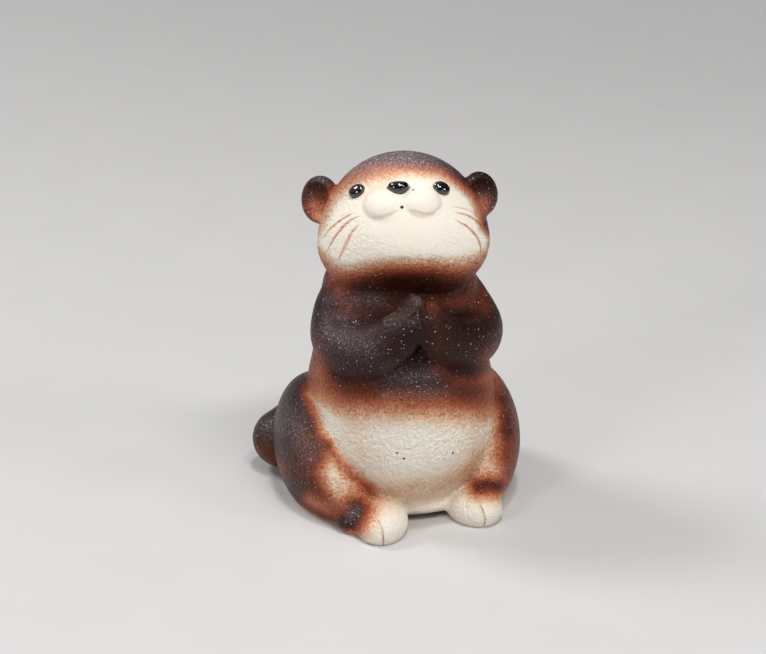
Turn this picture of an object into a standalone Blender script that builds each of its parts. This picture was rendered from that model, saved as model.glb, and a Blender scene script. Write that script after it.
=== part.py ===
"""Seated clay otter, a tea pet 84 mm tall.

The body and the head are hollow pressed shells, luted at the neck. Arms, haunches, feet, tail, ears,
muzzle pads, nose and eyes are formed by themselves and luted on. The front is -Y and the base is z = 0.
"""

import math

import bmesh
import bpy
import numpy as np
from mathutils import Matrix, Vector
from mathutils.bvhtree import BVHTree

MM = 0.001
DEGREE = math.pi / 180

# Shell walls, and the clearance between a piece and its neighbour
WALL = 3.2 * MM
FLOOR = 4.0 * MM
GAP = 0.3 * MM

# Body: a pear from the base to the neck joint
BODY_WIDTH = 46.0 * MM
BODY_DEPTH = 50.0 * MM
BODY_HEIGHT = 56.4 * MM
NECK_BORE = 7.0 * MM
VENT_RADIUS = 4.5 * MM
# Height, half-width, reach to the front and reach to the back, each as a share of the body's own size
BODY_PROFILE = (
    (0.000, 0.790, 0.620, 0.780),
    (0.050, 0.870, 0.720, 0.880),
    (0.140, 0.950, 0.860, 0.960),
    (0.240, 0.995, 0.975, 1.000),
    (0.350, 1.000, 1.020, 0.990),
    (0.480, 0.960, 0.960, 0.930),
    (0.640, 0.880, 0.830, 0.820),
    (0.780, 0.810, 0.735, 0.740),
    (0.890, 0.795, 0.675, 0.690),
    (0.960, 0.775, 0.625, 0.655),
    (1.000, 0.700, 0.550, 0.570),
)

# Head: a ball tilted back, turned a little to the otter's right
HEAD_WIDTH = 36.4 * MM
HEAD_DEPTH = 37.0 * MM
HEAD_HEIGHT = 35.0 * MM
HEAD_TURN = 17 * DEGREE
HEAD_LEAN = 3 * DEGREE
HEAD_FORWARD = 3.0 * MM
# How far the head's centre is above the neck joint
HEAD_SEAT = 9.8 * MM
# Swelling of the jowls, and how far the throat is drawn in
JOWL_OUT = 2.0 * MM
JOWL_FORWARD = 0.6 * MM
JOWL_REACH = 16.0 * MM
THROAT_IN = 3.0 * MM
THROAT_REACH = 14.0 * MM

EYE_WIDTH = 3.9 * MM
EYE_HEIGHT = 3.2 * MM
EYE_DEPTH = 2.0 * MM
EYE_AZIMUTH = 45 * DEGREE
EYE_ELEVATION = 43 * DEGREE
EYE_TILT = 38 * DEGREE

NOSE_WIDTH = 5.2 * MM
NOSE_HEIGHT = 3.0 * MM
NOSE_DEPTH = 3.0 * MM
NOSE_ELEVATION = 48.5 * DEGREE
# The lower corners are pinched in, so the nose is a rounded triangle
NOSE_PINCH = 0.9 * MM
NOSE_PINCH_REACH = 3.0 * MM

PAD_WIDTH = 7.6 * MM
PAD_HEIGHT = 7.4 * MM
PAD_DEPTH = 6.0 * MM
PAD_AZIMUTH = 19 * DEGREE
PAD_ELEVATION = 37 * DEGREE
PAD_SINK = 0.6 * MM
# The muzzle and the mouth sit a little to the otter's left of the nose
MUZZLE_AZIMUTH = 3 * DEGREE

MOUTH_RADIUS = 0.5 * MM
MOUTH_DEPTH = 2.0 * MM
MOUTH_ELEVATION = 34 * DEGREE

EAR_WIDTH = 9.2 * MM
EAR_HEIGHT = 11.0 * MM
EAR_DEPTH = 6.4 * MM
EAR_RIM = 1.2 * MM
EAR_AZIMUTH = 98 * DEGREE
EAR_ELEVATION = 20 * DEGREE
# The cup's centre stands off the head, both a little to the otter's right, and its bowl looks
# forwards, a little outwards and upwards
EAR_STAND = 1.2 * MM
EAR_SHIFT = 0.7 * MM
EAR_FACING = 22 * DEGREE
EAR_TIP_BACK = 12 * DEGREE

# Arm: a roll from the shoulder round the side to the paw, thickest at the elbow
ARM_RADIUS = 6.5 * MM
PAW_RADIUS = 4.5 * MM
PAW_TIP_RADIUS = 2.6 * MM

HAUNCH_WIDTH = 21.6 * MM
HAUNCH_DEPTH = 40.0 * MM
HAUNCH_HEIGHT = 34.0 * MM
# The haunch's centre: inside the body's side, behind its middle, above the base
HAUNCH_INSET = 4.6 * MM
HAUNCH_BACK = 3.0 * MM
HAUNCH_RISE = 12.1 * MM
# The knee is drawn in, forwards and down
KNEE_IN = 3.0 * MM
KNEE_FORWARD = 5.5 * MM
KNEE_DOWN = 1.0 * MM
KNEE_REACH = 15.0 * MM
# The otter's left thigh is pressed further over the belly
THIGH_SPOT = (-4.0 * MM, -13.0 * MM, 6.0 * MM)
THIGH_OVER = 1.8 * MM
THIGH_FORWARD = 1.6 * MM
THIGH_REACH = 12.0 * MM

FOOT_WIDTH = 12.4 * MM
FOOT_LENGTH = 16.0 * MM
FOOT_HEIGHT = 10.4 * MM
FOOT_RISE = 2.9 * MM
FOOT_SPLAY = 18 * DEGREE
# Each foot's centre: out from the middle, and ahead of the body's front edge at the base
FOOT_OUT = {"right": 9.8 * MM, "left": 13.0 * MM}
FOOT_AHEAD = {"right": 5.9 * MM, "left": 2.9 * MM}
TOE_LINE_WIDTH = 0.5 * MM
TOE_LINE_DEPTH = 0.5 * MM
TOE_FAN = 28 * DEGREE

TAIL_RADIUS = 8.0 * MM
TAIL_TIP_RADIUS = 7.2 * MM
TAIL_LIFT = 0.7 * MM
TAIL_BEND_OUT = 13.3 * MM
TAIL_REACH = 25.0 * MM
TAIL_ROOT_IN = 1.2 * MM
TAIL_TIP_IN = 7.5 * MM

# Glaze colours, linear
BROWN = (0.050, 0.022, 0.016, 1.0)
CREAM = (0.800, 0.700, 0.580, 1.0)
BLACK = (0.006, 0.005, 0.005, 1.0)
SATIN = 0.45
MATTE = 0.62
GLOSSY = 0.07

SIDES = {"right": -1, "left": 1}
BIG = 200 * MM


def clear_scene():
    for old in list(bpy.data.objects):
        bpy.data.objects.remove(old, do_unlink=True)


def glaze(name, colour, roughness):
    material = bpy.data.materials.new(name + "_glaze")
    material.use_nodes = True
    shader = material.node_tree.nodes["Principled BSDF"]
    shader.inputs["Base Color"].default_value = colour
    shader.inputs["Roughness"].default_value = roughness
    shader.inputs["Metallic"].default_value = 0.0
    return material


def object_from(name, bm, parent):
    bmesh.ops.recalc_face_normals(bm, faces=bm.faces)
    mesh = bpy.data.meshes.new(name)
    bm.to_mesh(mesh)
    bm.free()
    mesh.shade_smooth()
    mesh.set_sharp_from_angle(angle=40 * DEGREE)
    made = bpy.data.objects.new(name, mesh)
    bpy.context.scene.collection.objects.link(made)
    made.parent = parent
    return made


def piece(made, colour, roughness):
    """Gives a sub-part its own glaze."""
    made.data.materials.append(glaze(made.name, colour, roughness))
    return made


def hidden(made):
    """Turns an object into a cutter that is never built."""
    made.hide_render = True
    made.display_type = "WIRE"
    return made


def pulled(points, pulls):
    """Moves the points near each spot, fading smoothly to nothing at its reach."""
    for spot, move, reach in pulls:
        far = np.linalg.norm(points - np.array(spot), axis=1) / reach
        near = np.clip(1 - far, 0, 1)
        points = points + (near**2 * (3 - 2 * near))[:, None] * np.array(move)
    return points


def egg(name, size, parent, pulls=(), segments=20, rings=10):
    """An ellipsoid of the given width, depth and height round its own origin."""
    bm = bmesh.new()
    bmesh.ops.create_uvsphere(bm, u_segments=segments, v_segments=rings, radius=0.5)
    points = np.array([v.co for v in bm.verts]) * np.array(size)
    for vert, point in zip(bm.verts, pulled(points, pulls)):
        vert.co = point
    return object_from(name, bm, parent)


def smooth_through(stations, steps):
    """Catmull-Rom samples through rows of numbers, `steps` to a span, ends included."""
    rows = np.array(stations, dtype=float)
    rows = np.vstack([2 * rows[0] - rows[1], rows, 2 * rows[-1] - rows[-2]])
    samples = []
    for i in range(1, len(rows) - 2):
        a, b, c, d = rows[i - 1 : i + 3]
        for t in np.arange(steps) / steps:
            samples.append(
                0.5 * (2 * b + (c - a) * t + (2 * a - 5 * b + 4 * c - d) * t**2
                       + (3 * b - a - 3 * c + d) * t**3)
            )
    return np.array(samples + [rows[-2]])


def skin_rings(bm, rings):
    """Joins closed rings of points with quads and closes both ends."""
    loops = [[bm.verts.new(point) for point in ring] for ring in rings]
    count = len(loops[0])
    for low, high in zip(loops, loops[1:]):
        for i in range(count):
            j = (i + 1) % count
            bm.faces.new((low[i], low[j], high[j], high[i]))
    bm.faces.new(list(reversed(loops[0])))
    bm.faces.new(loops[-1])


def body_form(name, parent, inset, bottom, top, sides=40):
    """The body's pear between two heights, drawn in by `inset` all round."""
    rows = smooth_through(BODY_PROFILE, 2)
    heights = rows[:, 0] * BODY_HEIGHT
    inside = (heights > bottom) & (heights < top)
    rings = []
    for height in [bottom, *heights[inside], top]:
        at = height / BODY_HEIGHT
        half, front, back = (np.interp(at, rows[:, 0], rows[:, k]) for k in (1, 2, 3))
        half = half * BODY_WIDTH / 2 - inset
        front = front * BODY_DEPTH / 2 - inset
        back = back * BODY_DEPTH / 2 - inset
        ring = []
        for i in range(sides):
            turn = 2 * math.pi * i / sides
            deep = back if math.sin(turn) > 0 else front
            ring.append((half * math.cos(turn), deep * math.sin(turn), height))
        rings.append(ring)
    bm = bmesh.new()
    skin_rings(bm, rings)
    return object_from(name, bm, parent)


def roll(name, stations, parent, flip=1, sides=16, steps=3, cap_steps=3):
    """A roll of clay along stations of x, y, z and radius, with round ends.

    A flip of -1 mirrors it in X.
    """
    samples = smooth_through(stations, steps)
    centres = samples[:, :3]
    radii = samples[:, 3]
    along = np.gradient(centres, axis=0)
    along /= np.linalg.norm(along, axis=1)[:, None]
    across = np.cross(along[0], (0, 0, 1.0))
    if np.linalg.norm(across) < 0.1:
        across = np.cross(along[0], (0, 1.0, 0))
    rings = []

    def add_ring(centre, direction, radius):
        nonlocal across
        across = across - direction * np.dot(across, direction)
        across /= np.linalg.norm(across)
        beside = np.cross(direction, across)
        turns = 2 * math.pi * np.arange(sides) / sides
        rings.append(
            [centre + radius * (math.cos(t) * across + math.sin(t) * beside) for t in turns]
        )

    cap_turns = [math.pi / 2 * (k + 0.5) / (cap_steps + 0.5) for k in range(cap_steps)]
    for turn in cap_turns:
        back = radii[0] * math.cos(turn)
        add_ring(centres[0] - along[0] * back, along[0], radii[0] * math.sin(turn))
    for centre, direction, radius in zip(centres, along, radii):
        add_ring(centre, direction, radius)
    for turn in reversed(cap_turns):
        ahead = radii[-1] * math.cos(turn)
        add_ring(centres[-1] + along[-1] * ahead, along[-1], radii[-1] * math.sin(turn))
    rings = [[point * (flip, 1, 1) for point in ring] for ring in rings]
    bm = bmesh.new()
    skin_rings(bm, rings)
    return object_from(name, bm, parent)


def block(name, size, centre, parent):
    bm = bmesh.new()
    bmesh.ops.create_cube(bm, size=1)
    bmesh.ops.scale(bm, vec=Vector(size), verts=bm.verts)
    made = object_from(name, bm, parent)
    made.location = centre
    return hidden(made)


def drill(name, radius, low, high, centre, parent, sides=24):
    """An upright round cutter between two heights."""
    bm = bmesh.new()
    bmesh.ops.create_cone(
        bm, cap_ends=True, segments=sides, radius1=radius, radius2=radius, depth=high - low
    )
    made = object_from(name, bm, parent)
    made.location = (centre[0], centre[1], (low + high) / 2)
    return hidden(made)


def grown(made, amount):
    """A cutter like the piece before it was cut, but larger all round by `amount`."""
    bm = bmesh.new()
    bm.from_mesh(made.data)
    bm.normal_update()
    for vert, normal in [(v, v.normal.copy()) for v in bm.verts]:
        vert.co += normal * amount
    cutter = object_from(made.name + "_cutter", bm, made.parent)
    cutter.matrix_basis = made.matrix_basis.copy()
    return hidden(cutter)


def carve(made, *cutters, solver="EXACT"):
    for cutter in cutters:
        cut = made.modifiers.new("cut by " + cutter.name, "BOOLEAN")
        cut.operation = "DIFFERENCE"
        cut.solver = solver
        cut.object = cutter


clear_scene()
pet = bpy.data.objects.new("tea_pet", None)
bpy.context.scene.collection.objects.link(pet)

ground = block("ground_cutter", (BIG, BIG, BIG), (0, 0, -BIG / 2), pet)

# Body shell
torso = piece(body_form("torso_shell", pet, 0, 0, BODY_HEIGHT), BROWN, SATIN)
torso_grown = grown(torso, GAP)
cavity_top = BODY_HEIGHT - WALL
body_cavity = hidden(body_form("body_cavity_cutter", pet, WALL, FLOOR, cavity_top, sides=24))
neck_centre = (0, -HEAD_FORWARD / 2)
neck_plane = BODY_HEIGHT + GAP
neck_bore = drill(
    "neck_bore_cutter", NECK_BORE, cavity_top - WALL, neck_plane + 2 * WALL, neck_centre, pet
)
vent = drill("vent_cutter", VENT_RADIUS, -FLOOR, 2 * FLOOR, (0, 0), pet)
carve(torso, body_cavity, neck_bore, vent)

# Head shell
head_pulls = []
for side in SIDES.values():
    jowl = (side * 0.95 * HEAD_WIDTH / 2, -0.42 * HEAD_DEPTH / 2, -0.25 * HEAD_HEIGHT / 2)
    head_pulls.append((jowl, (side * JOWL_OUT, -JOWL_FORWARD, 0), JOWL_REACH))
throat = (0, -0.85 * HEAD_DEPTH / 2, -0.7 * HEAD_HEIGHT / 2)
head_pulls.append((throat, (0, THROAT_IN, 0), THROAT_REACH))
head_size = (HEAD_WIDTH, HEAD_DEPTH, HEAD_HEIGHT)
head_form = egg("head_shell", head_size, pet, head_pulls, segments=44, rings=22)
head = piece(head_form, CREAM, MATTE)
head.location = (0, -HEAD_FORWARD, neck_plane + HEAD_SEAT)
head.rotation_euler = (0, -HEAD_LEAN, -HEAD_TURN)
head_grown = grown(head, GAP)
inner_size = [size - 2 * WALL for size in head_size]
head_cavity = hidden(egg("head_cavity_cutter", inner_size, pet))
head_cavity.matrix_basis = head.matrix_basis.copy()
below_neck = block("below_neck_cutter", (BIG, BIG, BIG), (0, 0, neck_plane - BIG / 2), pet)
neck_floor = block("neck_floor_cutter", (BIG, BIG, BIG), (0, 0, neck_plane + WALL - BIG / 2), pet)
carve(head_cavity, neck_floor)
carve(head, below_neck, head_cavity, neck_bore, solver="MANIFOLD")

head_tree = BVHTree.FromPolygons(
    [v.co for v in head.data.vertices], [p.vertices for p in head.data.polygons]
)


def outward(azimuth, elevation):
    """A direction from the head's centre: azimuth 0 is the otter's front, positive to its left."""
    flat = math.cos(elevation)
    return Vector(
        (math.sin(azimuth) * flat, -math.cos(azimuth) * flat, math.sin(elevation))
    )


def on_head(azimuth, elevation):
    spot, normal, _, _ = head_tree.ray_cast(Vector((0, 0, 0)), outward(azimuth, elevation))
    return spot, normal


def facing(normal, tilt=0.0):
    """A frame whose -Y looks along the normal and whose Z points up the head."""
    back = -normal.normalized()
    up = (Vector((0, 0, 1)) - back * back.z).normalized()
    right = back.cross(up)
    frame = Matrix((right, back, up)).transposed()
    return (frame @ Matrix.Rotation(tilt, 3, "Y")).to_4x4()


def set_on_head(made, azimuth, elevation, sink=0.0, tilt=0.0):
    spot, normal = on_head(azimuth, elevation)
    seat = Matrix.Translation(spot - normal * sink)
    made.matrix_basis = head.matrix_basis @ seat @ facing(normal, tilt)


# Nose and eyes: glossy beads in sockets
nose_pulls = []
for side in SIDES.values():
    corner = (side * NOSE_WIDTH / 2, 0, -NOSE_HEIGHT / 2)
    nose_pulls.append((corner, (-side * NOSE_PINCH, 0, 0), NOSE_PINCH_REACH))
nose_size = (NOSE_WIDTH, NOSE_DEPTH, NOSE_HEIGHT)
nose = piece(egg("nose", nose_size, pet, nose_pulls, segments=16, rings=9), BLACK, GLOSSY)
set_on_head(nose, 0, NOSE_ELEVATION)
nose_grown = grown(nose, GAP)
carve(head, nose_grown, solver="MANIFOLD")

for word, side in SIDES.items():
    eye_size = (EYE_WIDTH, EYE_DEPTH, EYE_HEIGHT)
    eye = piece(egg("eye_" + word, eye_size, pet, segments=14, rings=8), BLACK, GLOSSY)
    set_on_head(eye, side * EYE_AZIMUTH, EYE_ELEVATION, tilt=side * EYE_TILT)
    carve(head, grown(eye, GAP), solver="MANIFOLD")

# Muzzle pads
for word, side in SIDES.items():
    pad = piece(egg("muzzle_pad_" + word, (PAD_WIDTH, PAD_DEPTH, PAD_HEIGHT), pet), CREAM, MATTE)
    set_on_head(pad, MUZZLE_AZIMUTH + side * PAD_AZIMUTH, PAD_ELEVATION, sink=PAD_SINK)
    carve(pad, head_grown, nose_grown)

# Mouth: a needle prick under the pads
prick_bm = bmesh.new()
bmesh.ops.create_cone(
    prick_bm, cap_ends=True, segments=12, radius1=MOUTH_RADIUS, radius2=MOUTH_RADIUS,
    depth=2 * MOUTH_DEPTH, matrix=Matrix.Rotation(math.pi / 2, 4, "X"),
)
prick = hidden(object_from("mouth_cutter", prick_bm, pet))
set_on_head(prick, MUZZLE_AZIMUTH, MOUTH_ELEVATION)
carve(head, prick, solver="MANIFOLD")

# Ears: thin cups with their bowls to the front
for word, side in SIDES.items():
    ear_size = (EAR_WIDTH, EAR_DEPTH, EAR_HEIGHT)
    ear = piece(egg("ear_" + word, ear_size, pet, segments=20, rings=12), BROWN, SATIN)
    spot, _ = on_head(side * EAR_AZIMUTH, EAR_ELEVATION)
    centre = spot + outward(side * EAR_AZIMUTH, EAR_ELEVATION) * EAR_STAND
    turn = facing(outward(side * EAR_FACING, EAR_TIP_BACK))
    shift = Matrix.Translation((-EAR_SHIFT, 0, 0))
    ear.matrix_basis = shift @ head.matrix_basis @ Matrix.Translation(centre) @ turn
    bowl_size = (EAR_WIDTH - 2 * EAR_RIM, EAR_DEPTH, EAR_HEIGHT - 2 * EAR_RIM)
    bowl = hidden(egg("ear_bowl_cutter_" + word, bowl_size, pet, segments=18, rings=10))
    bowl.matrix_basis = ear.matrix_basis @ Matrix.Translation((0, -EAR_DEPTH / 2, 0))
    carve(ear, head_grown, bowl)

# Arms: rolls that meet paw to paw in front of the chest
half_width = BODY_WIDTH / 2
half_depth = BODY_DEPTH / 2
arm_stations = [
    (0.53 * half_width, 0.02 * half_depth, 0.925 * BODY_HEIGHT, 0.80 * ARM_RADIUS),
    (0.64 * half_width, -0.06 * half_depth, 0.835 * BODY_HEIGHT, 0.94 * ARM_RADIUS),
    (0.69 * half_width, -0.30 * half_depth, 0.755 * BODY_HEIGHT, ARM_RADIUS),
    (0.53 * half_width, -0.62 * half_depth, 0.755 * BODY_HEIGHT, 0.94 * ARM_RADIUS),
    (0.29 * half_width, -0.82 * half_depth, 0.820 * BODY_HEIGHT, 0.84 * ARM_RADIUS),
    (0.12 * half_width, -0.90 * half_depth, 0.890 * BODY_HEIGHT, PAW_RADIUS),
    (0.05 * half_width, -0.88 * half_depth, 0.970 * BODY_HEIGHT, PAW_TIP_RADIUS),
]
for word, side in SIDES.items():
    arm = piece(roll("arm_" + word, arm_stations, pet, flip=side), BROWN, SATIN)
    beyond = (side * (GAP / 2 - BIG / 2), 0, 0)
    other_half = block("other_half_cutter_" + word, (BIG, BIG, BIG), beyond, pet)
    carve(arm, torso_grown, head_grown, other_half, solver="MANIFOLD")

# Haunches against the sides of the body
haunches_grown = {}
for word, side in SIDES.items():
    haunch_size = (HAUNCH_WIDTH, HAUNCH_DEPTH, HAUNCH_HEIGHT)
    knee = (0, -0.42 * HAUNCH_DEPTH, -0.2 * HAUNCH_HEIGHT)
    haunch_pulls = [(knee, (-side * KNEE_IN, -KNEE_FORWARD, -KNEE_DOWN), KNEE_REACH)]
    if word == "left":
        haunch_pulls.append((THIGH_SPOT, (-THIGH_OVER, -THIGH_FORWARD, 0), THIGH_REACH))
    haunch_form = egg("haunch_" + word, haunch_size, pet, haunch_pulls, segments=30, rings=15)
    haunch = piece(haunch_form, BROWN, SATIN)
    haunch.location = (side * (half_width - HAUNCH_INSET), HAUNCH_BACK, HAUNCH_RISE)
    haunches_grown[word] = grown(haunch, GAP)
    carve(haunch, torso_grown, ground, solver="MANIFOLD")

# Feet, each scored with lines between the toes
base_front = BODY_PROFILE[0][2] * half_depth
for word, side in SIDES.items():
    foot_size = (FOOT_WIDTH, FOOT_LENGTH, FOOT_HEIGHT)
    foot = piece(egg("foot_" + word, foot_size, pet, segments=22, rings=11), CREAM, MATTE)
    foot.location = (side * FOOT_OUT[word], -base_front - FOOT_AHEAD[word], FOOT_RISE)
    foot.rotation_euler = (0, 0, side * FOOT_SPLAY)
    carve(foot, torso_grown, haunches_grown[word], ground, solver="MANIFOLD")
    sole_size = [size - 2 * TOE_LINE_DEPTH for size in foot_size]
    foot_core = hidden(egg("foot_core_cutter_" + word, sole_size, pet, segments=22, rings=11))
    foot_core.matrix_basis = foot.matrix_basis.copy()
    for number in range(-1, 2):
        blade_size = (TOE_LINE_WIDTH, FOOT_LENGTH / 2, FOOT_HEIGHT)
        blade = block(f"toe_cutter_{word}_{number + 2}", blade_size, (0, 0, 0), pet)
        fan = Matrix.Rotation(number * TOE_FAN, 4, "Z")
        ahead = Matrix.Translation((0, -FOOT_LENGTH / 2, 0))
        blade.matrix_basis = foot.matrix_basis @ fan @ ahead
        carve(blade, foot_core)
        carve(foot, blade)

# Tail: a fat roll lying behind the otter's right haunch
tail_stations = [
    (0.0, half_depth - TAIL_ROOT_IN, TAIL_RADIUS + TAIL_LIFT, TAIL_RADIUS),
    (-TAIL_BEND_OUT, half_depth, TAIL_RADIUS + TAIL_LIFT, TAIL_RADIUS),
    (-TAIL_REACH, half_depth - TAIL_TIP_IN, TAIL_TIP_RADIUS + TAIL_LIFT, TAIL_TIP_RADIUS),
]
tail = piece(roll("tail", tail_stations, pet, sides=20, steps=4, cap_steps=4), BROWN, SATIN)
carve(
    tail, torso_grown, haunches_grown["right"], haunches_grown["left"], ground, solver="MANIFOLD"
)

# The origin goes to the middle of the footprint
bpy.context.view_layer.update()
graph = bpy.context.evaluated_depsgraph_get()
points = []
for made in bpy.context.scene.objects:
    if made.type == "MESH" and not made.hide_render:
        shape = made.evaluated_get(graph)
        points += [shape.matrix_world @ vert.co for vert in shape.data.vertices]
points = np.array(points)
middle = (points.min(axis=0) + points.max(axis=0)) / 2
pet.location = (-middle[0], -middle[1], 0)
bpy.context.view_layer.update()
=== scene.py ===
"""Seated clay otter, a hollow tea pet 84 mm tall. Metres, +Z up, the front is -Y."""

import math

import bpy
import numpy as np
from mathutils import Matrix, Vector, noise
from mathutils.kdtree import KDTree


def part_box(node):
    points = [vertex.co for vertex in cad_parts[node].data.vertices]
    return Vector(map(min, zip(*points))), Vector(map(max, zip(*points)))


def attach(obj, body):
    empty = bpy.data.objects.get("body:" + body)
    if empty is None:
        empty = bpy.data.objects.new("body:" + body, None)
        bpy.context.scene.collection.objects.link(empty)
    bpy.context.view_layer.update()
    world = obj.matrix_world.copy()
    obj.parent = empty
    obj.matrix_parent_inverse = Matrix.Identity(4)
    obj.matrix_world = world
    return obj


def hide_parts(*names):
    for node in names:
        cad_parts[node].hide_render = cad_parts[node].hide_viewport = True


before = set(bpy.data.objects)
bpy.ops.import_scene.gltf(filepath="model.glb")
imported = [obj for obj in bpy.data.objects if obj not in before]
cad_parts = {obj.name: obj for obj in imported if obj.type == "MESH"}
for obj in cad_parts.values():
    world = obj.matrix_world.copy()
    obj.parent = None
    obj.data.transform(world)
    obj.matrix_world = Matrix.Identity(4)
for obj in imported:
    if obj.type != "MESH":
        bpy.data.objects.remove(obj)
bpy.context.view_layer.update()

# Body: a pear of stoneware clay pressed in a mould, drawn in at the neck and flat under the base.
# It is begun as a disc and drawn up ring by ring, with the belly pushed forwards.
MM = 0.001
torso_low, torso_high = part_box("torso_shell")
BODY_BACK = 25.03 * MM
BODY_AXIS = Vector(((torso_low[0] + torso_high[0]) / 2, torso_high[1] - BODY_BACK, 0.0))
NECK_HEIGHT = 56.55
# Height, half-width, reach to the front and reach to the back, in millimetres
BODY_RINGS = (
    (-4.0, 15.6, 9.6, 17.0),
    (0.0, 18.2, 12.0, 19.5),
    (2.8, 20.0, 16.2, 22.0),
    (7.9, 21.8, 21.5, 24.0),
    (13.5, 22.9, 24.4, 25.0),
    (19.7, 23.0, 25.5, 24.8),
    (27.1, 22.1, 24.0, 23.2),
    (36.1, 20.2, 20.8, 20.5),
    (44.0, 18.6, 18.4, 18.5),
    (50.2, 18.3, 16.9, 17.2),
    (54.1, 17.8, 15.6, 16.4),
    (58.0, 15.8, 13.4, 14.2),
)
RING_POINTS = 72
forms = {}


def at(x, y, z):
    """A place in millimetres from the middle of the body's base, in the frame's metres."""
    return BODY_AXIS + Vector((x, y, z)) * MM


def put_down():
    bpy.ops.object.select_all(action="DESELECT")


def take(piece):
    """Takes one piece in hand: it alone is selected and active."""
    put_down()
    piece.select_set(True)
    bpy.context.view_layer.objects.active = piece


def settle(piece):
    """Turns a piece's place, turn and size into its mesh."""
    take(piece)
    bpy.ops.object.transform_apply(location=True, rotation=True, scale=True)


def finish_with(piece, kind, **settings):
    """Works the piece over with one modifier, applied at once."""
    take(piece)
    tool = piece.modifiers.new(kind.lower(), kind)
    tool.show_viewport = False
    for setting, value in settings.items():
        setattr(tool, setting, value)
    bpy.ops.object.modifier_apply(modifier=tool.name)


def draw_up(name, rings):
    """A closed form begun as a disc and drawn up ring by ring."""
    first = rings[0]
    middle = at(0, (first[3] - first[2]) / 2, first[0])
    put_down()
    bpy.ops.mesh.primitive_circle_add(
        vertices=RING_POINTS, radius=MM, fill_type="NGON", location=middle
    )
    form = bpy.context.object
    form.name = name
    bpy.ops.object.mode_set(mode="EDIT")
    bpy.ops.mesh.select_all(action="SELECT")
    bpy.ops.transform.resize(
        value=(first[1], (first[2] + first[3]) / 2, 1), center_override=middle
    )
    for under, over in zip(rings, rings[1:]):
        shift = (over[3] - over[2]) / 2 - (under[3] - under[2]) / 2
        bpy.ops.mesh.extrude_region_move(
            TRANSFORM_OT_translate={"value": (0, shift * MM, (over[0] - under[0]) * MM)}
        )
        bpy.ops.transform.resize(
            value=(over[1] / under[1], (over[2] + over[3]) / (under[2] + under[3]), 1),
            center_override=at(0, (over[3] - over[2]) / 2, over[0]),
        )
    bpy.ops.mesh.select_all(action="SELECT")
    bpy.ops.mesh.normals_make_consistent(inside=False)
    bpy.ops.object.mode_set(mode="OBJECT")
    settle(form)
    return form


torso_form = draw_up("torso_form", BODY_RINGS)
finish_with(torso_form, "SUBSURF", levels=2, render_levels=2)
forms["torso_shell"] = torso_form

# Head: a hollow ball of the same clay, tilted back and turned a little to the otter's right.
# Its jowls are pushed out and its throat pressed in before it is luted on the neck.
HEAD_SIZE = (36.4, 37.0, 35.0)
HEAD_PLACE = (0.0, -3.0, 66.5)
HEAD_TURN = Matrix.Rotation(math.radians(-17), 4, "Z") @ Matrix.Rotation(math.radians(-3), 4, "Y")
# Where the clay is pushed, which way and how far the push reaches
JOWLS = ((17.3, -7.8, -4.4), (2.0, -0.6, 0.0), 16.0)
THROAT = ((0.0, -15.7, -12.2), (0.0, 3.0, 0.0), 14.0)
# Well outside the head, in metres
OUTSIDE = 0.1


def ball(name, size, place, segments=64, rings=40):
    """A ball of clay pressed to a size in millimetres, placed but not yet settled."""
    put_down()
    bpy.ops.mesh.primitive_uv_sphere_add(segments=segments, ring_count=rings, radius=MM / 2)
    made = bpy.context.object
    made.name = name
    made.scale = size
    settle(made)
    made.location = place
    return made


def push(piece, spot, move, reach):
    """Pushes the clay near a spot, all in the piece's own millimetres, fading out at the reach."""
    take(piece)
    vertices = piece.data.vertices
    nearest = min(vertices, key=lambda v: (v.co - Vector(spot) * MM).length_squared).index
    bpy.ops.object.mode_set(mode="EDIT")
    bpy.ops.mesh.select_all(action="DESELECT")
    bpy.ops.object.mode_set(mode="OBJECT")
    vertices[nearest].select = True
    bpy.ops.object.mode_set(mode="EDIT")
    bpy.ops.transform.translate(
        value=Vector(move) * MM, orient_type="GLOBAL", use_proportional_edit=True,
        proportional_edit_falloff="SMOOTH", proportional_size=reach * MM,
    )
    bpy.ops.object.mode_set(mode="OBJECT")


def mirrored(triple, side):
    """The same place or move on the otter's right, side -1, or on its left, side 1."""
    return side * triple[0], triple[1], triple[2]


head_form = ball("head_form", HEAD_SIZE, (0, 0, 0), 96, 60)
for side in (-1, 1):
    spot, move, reach = JOWLS
    push(head_form, mirrored(spot, side), mirrored(move, side), reach)
push(head_form, *THROAT)
head_frame = Matrix.Translation(at(*HEAD_PLACE)) @ HEAD_TURN
head_axes = head_frame.to_3x3()
head_form.matrix_basis = head_frame
settle(head_form)
forms["head_shell"] = head_form


def outward(azimuth, elevation):
    """A direction from the head's middle: azimuth 0 is its front, positive to the otter's left."""
    azimuth, elevation = math.radians(azimuth), math.radians(elevation)
    flat = math.cos(elevation)
    return Vector((math.sin(azimuth) * flat, -math.cos(azimuth) * flat, math.sin(elevation)))


def head_seat(azimuth, elevation, sink=0.0, tilt=0.0):
    """The place and turn of a piece set on the head, its -Y looking straight out."""
    start = head_frame.translation
    away = (head_axes @ outward(azimuth, elevation)).normalized()
    _, spot, normal, _ = head_form.ray_cast(start + away * OUTSIDE, -away)
    back = -(head_axes.inverted() @ normal).normalized()
    up = (Vector((0, 0, 1)) - back * back.z).normalized()
    turn = Matrix((back.cross(up), back, up)).transposed() @ Matrix.Rotation(tilt, 3, "Y")
    turn = head_axes @ turn
    return Matrix.Translation(spot - normal * sink * MM) @ turn.to_4x4()


# Nape: a pad of the same clay, pressed in behind the neck before the joint is sponged over.
# It fills the hollow between the back of the head and the shoulders.
NAPE_SIZE = (27.0, 17.8, 22.0)
NAPE_PLACE = (0, 7.0, 59.0)


def lump(name, size, place, segments=48, rings=30):
    """One more lump of clay pressed on, its place in millimetres."""
    forms[name] = ball(name + "_form", size, at(*place), segments, rings)
    settle(forms[name])


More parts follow.
